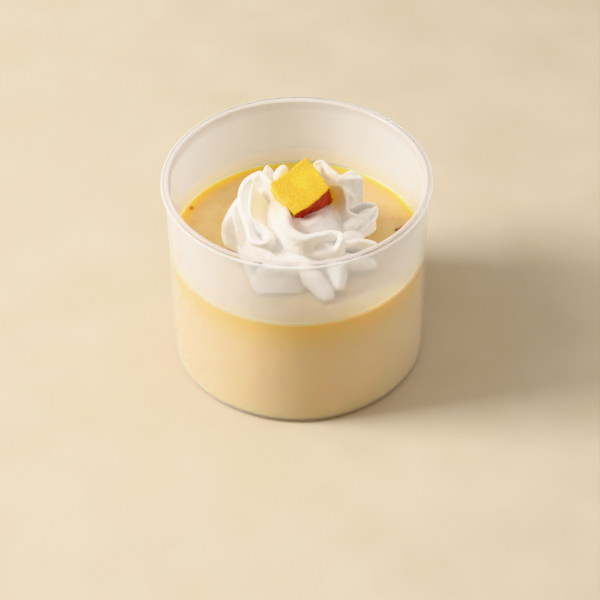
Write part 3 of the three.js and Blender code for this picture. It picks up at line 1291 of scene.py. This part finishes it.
HEAP = ((17.5, -3), (17.5, 2), (15.5, 5), (13, 9), (11, 12.5), (8.5, 15.5), (5, 17))


def back_fold(turn: float) -> Fold:
    """A fold at the back of the swirl: they all have one form and differ only in their turn.

    Args:
        turn: where its crest starts.

    Returns:
        The fold.
    """
    crest = ((0, 9, 18.5), (3, 13, 17.5), (10, 18.5, 11.5), (18, 21, 4), (20, 21, 1))
    knots = tuple((turn + ahead, reach, height) for ahead, reach, height in crest)
    return Fold(knots, edge=(1.3, 1.3), root=3, pull=0.4, drop=9)


FOLDS = (
    # left of the dice: a fold that turns outwards, and a rounded lobe behind it
    Fold(((165, 8, 21), (150, 10.5, 22), (145, 14, 22), (155, 15, 21)), (0.9, 0.9), 2.6, 0.3, 9),
    Fold(((145, 8.5, 21), (130, 9.5, 22.5), (110, 11.5, 23)), (1.4, 1.5), 2.4, 0.2, 9),
    Fold(((140, 13, 22), (130, 14, 22), (125, 12, 19.5)), (0.7, 0.7), 2.2, 0.3, 8),
    # left: a thin crest that curls back in a loop, and a second one outside it
    Fold(
        ((160, 14, 21), (180, 14, 19.5), (202, 15, 17.5), (215, 13, 15.5), (230, 13.5, 14),
         (231, 16, 13.5), (220, 18, 13.5), (210, 17, 14)),
        (0.5, 0.8), 2.4, 0.35, 9,
    ),
    Fold(((165, 13.5, 19), (190, 13, 15.5), (210, 13, 12.5)), (0.8, 1.6), 2.4, 0.3, 8),
    Fold(
        ((145, 14.5, 22), (160, 17, 20), (180, 17, 17), (200, 16, 14), (215, 17, 11.5),
         (235, 17, 8)),
        (0.9, 0.8), 3, 0.35, 10,
    ),
    # left: the outer leaf, the crest that bounds the valley inside it, and the band below the loop
    Fold(((170, 17.5, 17.5), (175, 20, 13), (175, 22, 8), (180, 22, 2)), (1.4, 1.6), 3.5, 0.35, 8),
    Fold(((175, 19, 16), (182, 18.5, 11), (188, 17.5, 5), (190, 16.5, 1)), (0.6, 0.8), 3.5, 0.4, 8),
    Fold(((214, 17.5, 13), (228, 17, 11), (244, 16.5, 9), (262, 15.5, 7.5)), (1.2, 1.6), 3, 0.35, 8),
    # front: the last fold piped, a lip that starts beside the dice and ends in a hook, and the
    # cream inside it that rises to the dice
    Fold(
        ((228, 7.5, 21.5), (243, 9.5, 21), (257, 13.5, 19), (274, 15, 17.5), (290, 14.5, 17),
         (307, 15, 16.5), (313, 17, 16), (303, 19.5, 15)),
        (1.7, 0.6), 2.6, 0.15, 6,
    ),
    Fold(((225, 5.5, 19.5), (255, 8, 18.5), (280, 8.5, 17.5), (320, 8.5, 18)), (2, 2), 4, 0.2, 8),
    # front: what carries the lip, the body below it, and the thin crest on its right
    Fold(((245, 12.5, 14), (275, 13, 13), (300, 16.5, 12.5), (315, 18.5, 11)), (2.2, 2.2), 4, 0.4, 9),
    Fold(((230, 18, 7.5), (270, 14, 8.5), (310, 17, 8.5)), (2.2, 2.4), 4, 0.4, 8),
    Fold(((315, 17, 11.5), (335, 19, 10), (342, 23, 8)), (0.7, 0.7), 3, 0.35, 7),
    # right: a ribbon that swings forward from the dice and out to the tip of the right lobe
    Fold(
        ((20, 9, 21), (18, 12, 20.5), (0, 13, 19), (-8, 13.5, 16), (-8, 17, 14.5), (8, 22, 13.5)),
        (0.5, 0.5), 1.4, 0.05, 8,
    ),
    Fold(((5, 14, 14), (12, 18, 14), (10, 22, 13.5)), (0.5, 0.5), 2, 0.3, 8),
    Fold(((8, 22, 13.5), (0, 21.5, 12), (-15, 17.5, 10.5)), (0.5, 0.7), 2, 0.35, 8),
    Fold(((-22, 14, 14), (-8, 17, 13.5), (6, 20.5, 13.5)), (1.8, 1.2), 3, 0.35, 9),
    Fold(((-38, 15, 12.5), (-20, 17, 10.5), (-10, 18.5, 8)), (1.6, 1.6), 3, 0.35, 8),
    # back right: two crests that close a narrow hollow, their side, and an arch by the dice
    Fold(((45, 15, 18.5), (36, 18, 17.5), (34, 22, 16)), (0.5, 0.5), 2.2, 0.25, 10),
    Fold(((42, 16, 18), (41, 19.5, 18), (34, 22, 16)), (0.5, 0.5), 2.2, 0.35, 10),
    Fold(((46, 14.5, 18), (38, 20, 17.2)), (1.2, 1), 2, 0.3, 8),
    Fold(((35, 22, 16), (34, 21.5, 11), (36, 22, 7)), (0.6, 0.8), 3, 0.35, 8),
    Fold(((73, 13.5, 21), (66, 15.5, 21), (56, 15, 20), (44, 15.5, 18.5)), (0.6, 0.6), 2.4, 0.35, 9),
    Fold(((68, 14.5, 20.5), (64, 12.5, 20), (58, 10.5, 19.5)), (0.8, 0.8), 2.2, 0.2, 9),
    # under the dice: the mound that its back rests on
    Fold(((135, 7, 20.5), (80, 8.5, 21.5), (35, 7, 20)), (2.2, 2.2), 4, 0.2, 10),
    # front foot: a flat-faced corner
    Fold(((228, 20, 8.5), (227, 21.5, 5), (234, 22.5, 3), (241, 23.5, 0.5)), (0.6, 0.8), 2.5, 0.5, 4),
    Fold(((232, 19.5, 7.5), (248, 17, 7.5), (272, 15.5, 7)), (1.4, 1.8), 2.6, -0.12, 7, 2.5),
    Fold(((240, 22.5, 0.5), (255, 20, 0.5), (273, 18.5, 1)), (1, 1.2), 3, 0.4, 4),
    # front foot: a tongue that lies on the pudding, and the fold beside it
    Fold(((268, 14, 8.5), (279, 19, 6), (287, 23, 3.5), (290, 26, 1.5)), (3.5, 2.4), 4, 0.4, 5, 1.0),
    Fold(((306, 17, 10), (304, 21, 7), (298, 24, 2.5)), (2.8, 1.6), 3.5, 0.4, 7),
    # right foot: the low lobe
    Fold(((302, 17, 8.5), (324, 20, 6), (340, 24, 1.5)), (2.6, 1.8), 3.5, 0.35, 6),
    *(back_fold(turn) for turn in (25, 60, 92, 125, 150)),
)


# ---------------------------------------------------------------- sweet potato dice


@dataclass(frozen=True)
class PotatoDice:
    """The dice on top: a skewed block, cut on five sides, with its skin on the sixth.

    Attributes:
        width: along the edge that keeps its skin.
        depth: from that edge to the one across from it.
        skew: how far the cut edges are out of square.
        thickness: from the top face to the bottom one.
        corner: radius of its edges.
        skin_bulge: how far the skin side stands out in its middle.
        skin_lean: how far it stands out further down, per millimetre of depth.
        centre: the middle of the top face.
        tilt: how far the top face leans to the front.
        turn: turn of the skin edge from the x axis.
        cuts: how ragged the cut sides are.
        cuts_upright: share of that raggedness on the top face.
        fibres: relief of the fibres.
        fibre_squeeze: how many times finer the fibres are along each axis.
        fibre_size: width and length of the fibres' colour.
        fibre_slope: how far the fibres step aside with the depth.
        line_size: width and length of the skin's lines.
        by_skin: the most that the flesh is deeper in colour by the skin.
        light_reach: how far its painted light reaches into the cream.
        yellow_least: share of the painted yellow light on the left side.
        pink_most: share of painted pink light against the skin.
        pink_inset: how far inside the skin side the pink light starts.
        pink_fade: over how much of the block's right end it fades out.
        face_start: size of the first ring in a face's middle, as a share of the face.
        around: points round the outline.
        face_rings: rings of points on the top face, and on the bottom one.
        side_rings: rings down the sides.
        corner_steps: steps round an edge.
    """

    width: float = 12.6
    depth: float = 11.0
    skew: float = -0.5
    thickness: float = 9.5
    corner: float = 0.35
    skin_bulge: float = 0.5
    skin_lean: float = 0.14
    centre: Triple = (0.7, -5.7, 61.7)
    tilt: float = 33.0
    turn: float = 38.0
    cuts: tuple[Grain, ...] = (Grain(0.28, 1.7, 21), Grain(0.16, 0.8, 22))
    cuts_upright: float = 0.15
    fibres: Grain = Grain(0.03, 0.35, 23)
    fibre_squeeze: Triple = (1.6, 0.45, 1.2)
    fibre_size: tuple[float, float] = (0.26, 0.8)
    fibre_slope: float = 0.8
    line_size: tuple[float, float] = (0.4, 1.0)
    by_skin: float = 0.8
    light_reach: float = 3.6
    yellow_least: float = 0.12
    pink_most: float = 0.5
    pink_inset: float = 1.0
    pink_fade: float = 1.5
    face_start: float = 0.02
    around: int = 320
    face_rings: int = 29
    side_rings: int = 28
    corner_steps: int = 4

    def outline(self) -> tuple[Array, Array]:
        """The top face's outline: a skewed four-sided figure whose front side bulges as a parabola.

        Returns:
            Rows of x and y at even steps, and for each whether it lies on the skin side.
        """
        w, d = self.width / 2, self.depth / 2
        corners = np.array([[-w, -d], [w, -d], [w - self.skew, d], [-w - self.skew, d], [-w, -d]])
        run = np.r_[0, np.cumsum(np.linalg.norm(np.diff(corners, axis=0), axis=1))]
        even = np.linspace(0, run[-1], self.around, endpoint=False)
        points = np.stack([np.interp(even, run, corners[:, k]) for k in (0, 1)], 1)
        skin = even < self.width
        x = points[skin, 0] / w
        points[skin, 1] -= self.skin_bulge * (1 - x**2)
        return points, skin

    def rings(self, flat: Array) -> Array:
        """Rings from the middle of the top, over the edge, down the sides and in to the bottom's middle.

        Each ring is the outline, shrunk, at its own height: the edges are quarter circles, and the
        skin side stands out further down by the lean.

        Args:
            flat: the outline, as rows of x and y.

        Returns:
            An array of shape (rings, points around, 3).
        """
        bend = np.radians(np.linspace(0, 90, self.corner_steps + 1))
        deep = self.corner * (1 - np.cos(bend))
        wide = self.corner * (1 - np.sin(bend))
        side = np.linspace(self.corner, self.thickness - self.corner, self.side_rings + 2)[1:-1]
        edge = 1 - np.concatenate([wide, 0 * side, deep]) / np.abs(flat).max()
        fall = np.concatenate([deep, side, self.thickness - wide])
        face = np.linspace(self.face_start, 1, self.face_rings + 1)[:-1]
        size = np.concatenate([face * edge[0], edge, face[::-1] * edge[-1]])
        height = -np.concatenate([0 * face, fall, 0 * face + self.thickness])
        upright = np.repeat(height[:, None, None], len(flat), 1)
        rings = np.concatenate([flat[None] * size[:, None, None], upright], 2)
        front = np.clip(-rings[..., 1] * 2 / self.depth, 0, 1)
        rings[..., 1] += self.skin_lean * rings[..., 2] * front
        return rings

    def build(self) -> bpy.types.Object:
        """Returns:
            The piece.
        """
        flat, skin = self.outline()
        rings = self.rings(flat)
        shell = Skin.of_rings(rings)
        local = shell.points.copy()
        item = add_piece("potato_dice_cut", [shell], [PotatoFlesh().make(), PotatoSkin().make()])
        self.mark_skin(item.data, skin, len(rings))
        self.lay_grain(item.data, local)
        nearness = np.clip(0.5 - local[:, 1] / self.depth, 0, 1)
        paint(item.data, "by_skin", self.by_skin * nearness**2)
        face_outwards(item.data)
        _, normals = points_of(item.data)
        ragged = sum(layer.over(local) for layer in self.cuts)
        flat_on = normals * [1, 1, self.cuts_upright]
        fibres = self.fibres.over(local * self.fibre_squeeze)
        local = local + flat_on * ragged[:, None] + normals * fibres[:, None]
        move_points(item.data, self.stand(local))
        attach(item, "root")
        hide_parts("potato_dice")
        return item

    def mark_skin(self, mesh: bpy.types.Mesh, skin: Array, rings: int) -> None:
        """Gives the side faces on the skin side the second material.

        Args:
            mesh: the dice's mesh, its faces in the order of its rings.
            skin: for each place around, whether it lies on the skin side.
            rings: number of rings.
        """
        index = np.zeros(len(mesh.polygons), int)
        grid = index[: (rings - 1) * self.around].reshape(rings - 1, self.around)
        grid[self.face_rings + self.corner_steps : rings - 1 - self.face_rings, :] = skin
        mesh.polygons.foreach_set("material_index", index)

    def lay_grain(self, mesh: bpy.types.Mesh, local: Array) -> None:
        """Writes the UV map that the fibres and the skin's lines follow.

        The flesh's fibres run away from the skin side, the skin's lines along it: u is measured
        across the lines in units of one line's width, and v along them in units of its length.

        Args:
            mesh: the dice's mesh.
            local: its points before they are turned and set in place.
        """
        uv = mesh.uv_layers.new(name="grain")
        corners = np.empty(len(mesh.loops), int)
        mesh.loops.foreach_get("vertex_index", corners)
        material = np.empty(len(mesh.polygons), int)
        mesh.polygons.foreach_get("material_index", material)
        count = np.empty(len(mesh.polygons), int)
        mesh.polygons.foreach_get("loop_total", count)
        on_skin = np.repeat(material == 1, count)
        x, y, z = local[corners].T
        across = x / self.fibre_size[0] + self.fibre_slope * z
        flesh = np.stack([across, (y + z) / self.fibre_size[1]], 1)
        peel = np.stack([z / self.line_size[0], x / self.line_size[1]], 1)
        uv.data.foreach_set("uv", np.where(on_skin[:, None], peel, flesh).ravel())

    def pose(self) -> Array:
        """The dice's rotation: a turn about z, then a lean to the front about x."""
        lean = Matrix.Rotation(np.radians(self.tilt), 3, "X")
        return np.array(lean @ Matrix.Rotation(np.radians(self.turn), 3, "Z"))

    def stand(self, local: Array) -> Array:
        """Turns the dice and sets its top face's middle in place."""
        return local @ self.pose().T + np.array(self.centre)

    def light_from_dice(self, points: Array) -> tuple[Array, Array]:
        """How much light the dice throws on the cream about it, painted as colour: yellow light by its
        cut sides, pink light under its skin.

        Both fall off with the distance from the block as a bell curve. The yellow is strongest on the
        block's right side.

        Args:
            points: places on the cream.

        Returns:
            A share of painted yellow light and a share of painted pink light for each.
        """
        x, y, z = ((points - np.array(self.centre)) @ self.pose()).T
        half = np.array([self.width, self.depth, self.thickness]) / 2
        off = np.abs(np.stack([x, y, z + half[2]], 1)) - half
        near = np.exp(-((np.linalg.norm(np.maximum(off, 0), axis=1) / self.light_reach) ** 2))
        front = np.clip(-y - half[1] + self.pink_inset, 0, 1)
        under = front * np.clip((half[0] - x) / self.pink_fade, 0, 1)
        # painted light: yellow by the cut sides, strongest on the right, and pink under the skin
        dice_yellow_light = self.yellow_least + (1 - self.yellow_least) * np.clip(x / half[0], 0, 1)
        return near * (1 - under) * dice_yellow_light, self.pink_most * near * under


# ---------------------------------------------------------------- crumbs of peel


@dataclass(frozen=True)
class Crumb:
    """One crumb: its turn about the cup's axis, distance from it, height, half sizes and tone."""

    turn: float
    distance: float
    height: float
    half: Triple
    tone: float


@dataclass(frozen=True)
class PeelCrumbs:
    """The few dark crumbs of peel that lie on the pudding and against the wall.

    Attributes:
        crumbs: the crumbs.
        dent: share of a crumb's size that its dents take.
        dent_size: size of a dent on a ball of radius 1.
        first_seed: seed of the first crumb's dents; each of the others has the next one.
        pole: angle from its poles at which a crumb's rings start and end.
        rings: rings of points from pole to pole.
        sides: points on a ring.
    """

    crumbs: tuple[Crumb, ...]
    dent: float = 0.35
    dent_size: float = 0.7
    first_seed: int = 40
    pole: float = 0.05
    rings: int = 12
    sides: int = 20

    def crumb_skin(self, crumb: Crumb, seed: int) -> Skin:
        """A crumb: a ball of angles stretched to its half sizes and dented by a seeded grain.

        Args:
            crumb: the crumb.
            seed: seed of its dents.

        Returns:
            Its closed skin.
        """
        tilt = np.linspace(self.pole, np.pi - self.pole, self.rings)[:, None]
        turn = np.linspace(0, 2 * np.pi, self.sides, endpoint=False)[None]
        z = np.cos(tilt) + 0 * turn
        ball = np.stack([np.sin(tilt) * np.cos(turn), np.sin(tilt) * np.sin(turn), z], -1)
        dents = Grain(self.dent, self.dent_size, seed).over(ball.reshape(-1, 3)).reshape(z.shape)
        out, across, up = np.moveaxis(ball * (1 + dents)[..., None] * np.array(crumb.half), -1, 0)
        a = np.radians(crumb.turn)
        x = (crumb.distance + out) * np.cos(a) - across * np.sin(a)
        y = (crumb.distance + out) * np.sin(a) + across * np.cos(a)
        return Skin.of_rings(np.stack([x, y, crumb.height + up], -1))

    def build(self) -> bpy.types.Object:
        """Returns:
            The piece.
        """
        skins = [self.crumb_skin(crumb, self.first_seed + i) for i, crumb in enumerate(self.crumbs)]
        item = add_piece("peel_crumbs", skins, [PeelFleck().make()])
        face_outwards(item.data)
        tones = [crumb.tone for crumb in self.crumbs]
        paint(item.data, "tone", np.repeat(tones, [len(skin.points) for skin in skins]))
        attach(item, "root")
        return item


CRUMBS = (
    Crumb(153.6, 33.9, 37.5, (0.5, 0.7, 0.35), -0.3),
    Crumb(9.5, 28.6, 37.05, (0.9, 0.6, 0.25), 0.4),
    Crumb(11, 30, 37.05, (0.5, 0.5, 0.2), 0),
    Crumb(20.5, 28.8, 37, (0.2, 0.2, 0.1), 0),
    Crumb(14, 24.5, 37, (0.2, 0.2, 0.1), 0),
    Crumb(276.2, 34.85, 22.0, (0.15, 0.5, 0.3), 0.4),
)


# ---------------------------------------------------------------- studio


@dataclass(frozen=True)
class Lamp:
    """A square soft light: where it hangs, its side, its power in watts and its colour."""

    name: str
    place: Triple
    side: float
    power: float
    colour: str


LAMPS = (
    Lamp("window", (-700, -50, 550), 300, 11, "#fbfcff"),
    Lamp("ceiling", (60, -60, 900), 900, 3.1, "#fffaf2"),
    Lamp("reflector", (700, 80, 240), 300, 1.1, "#f4f6ff"),
)


@dataclass(frozen=True)
class Studio:
    """A pale floor, soft lights and the camera.

    Attributes:
        lamps: the soft lights.
        look_at: the place that the lights face.
        sky: colour of the light from all round.
        sky_strength: its strength.
        floor_side: side of the square floor.
        aim: the place that the camera looks at.
        elevation: how far the camera looks down.
        roll: its turn about its own line of sight.
        distance: from the camera to the aim.
        lens: its focal length.
        sensor: width of its sensor.
        sight: the farthest that it sees.
    """

    lamps: tuple[Lamp, ...]
    look_at: Triple = (0.0, 0.0, 40.0)
    sky: str = "#ffe3c6"
    sky_strength: float = 0.34
    floor_side: float = 4000.0
    aim: Triple = (0.45, -3.83, 18.42)
    elevation: float = 41.14
    roll: float = -0.57
    distance: float = 912.0
    lens: float = 191.7
    sensor: float = 36.0
    sight: float = 10000.0

    def build(self) -> None:
        """Makes floor, lights, surroundings and camera."""
        self.lay_floor()
        for lamp in self.lamps:
            self.hang(lamp)
        world = bpy.data.worlds.new("studio")
        world.use_nodes = True
        backdrop = world.node_tree.nodes["Background"]
        backdrop.inputs["Color"].default_value = linear(self.sky)
        backdrop.inputs["Strength"].default_value = self.sky_strength
        bpy.context.scene.world = world
        bpy.context.scene.view_settings.view_transform = "Khronos PBR Neutral"
        self.set_camera()

    def lay_floor(self) -> None:
        half = self.floor_side / 2
        corners = np.array([[-half, -half, 0], [half, -half, 0], [half, half, 0], [-half, half, 0]])
        floor = add_piece("floor", [Skin(corners, [(0, 1, 2, 3)])], [PaleStone().make()])

    def hang(self, lamp: Lamp) -> None:
        """Hangs one lamp so that it faces the object.

        Args:
            lamp: the lamp.
        """
        data = bpy.data.lights.new(lamp.name, "AREA")
        data.size = lamp.side * MM
        data.energy = lamp.power
        data.color = linear(lamp.colour)[:3]
        item = bpy.data.objects.new(lamp.name, data)
        item.location = Vector(lamp.place) * MM
        facing = Vector(self.look_at) * MM - item.location
        item.rotation_euler = facing.to_track_quat("-Z", "Y").to_euler()
        bpy.context.scene.collection.objects.link(item)

    def set_camera(self) -> None:
        """Sets the camera: it looks along +y and down, from the stated distance."""
        data = bpy.data.cameras.new("camera")
        data.lens = self.lens
        data.sensor_width = self.sensor
        data.clip_end = self.sight * MM
        item = bpy.data.objects.new("camera", data)
        aim = Matrix.Translation(Vector(self.aim) * MM)
        lean = Matrix.Rotation(np.radians(90 - self.elevation), 4, "X")
        back = Matrix.Translation((0, 0, self.distance * MM))
        twist = Matrix.Rotation(np.radians(self.roll), 4, "Z")
        item.matrix_world = aim @ lean @ back @ twist
        bpy.context.scene.collection.objects.link(item)
        bpy.context.scene.camera = item


def main() -> None:
    """Builds each piece in turn, then the studio."""
    logging.basicConfig(level=logging.INFO, format="%(name)s: %(message)s")
    cup = Cup.from_frame()
    pudding = Pudding(cup)
    dice = PotatoDice()
    swirl = CreamSwirl(pudding.level, FOLDS, HEAP, dice)
    makers = (pudding, swirl, dice, PeelCrumbs(CRUMBS))
    for item in (cup.build(pudding.level), *(maker.build() for maker in makers)):
        log.info("%s: %d faces", item.name, len(item.data.polygons))
    Studio(LAMPS).build()
    bpy.context.view_layer.update()


if __name__ == "__main__":
    main()
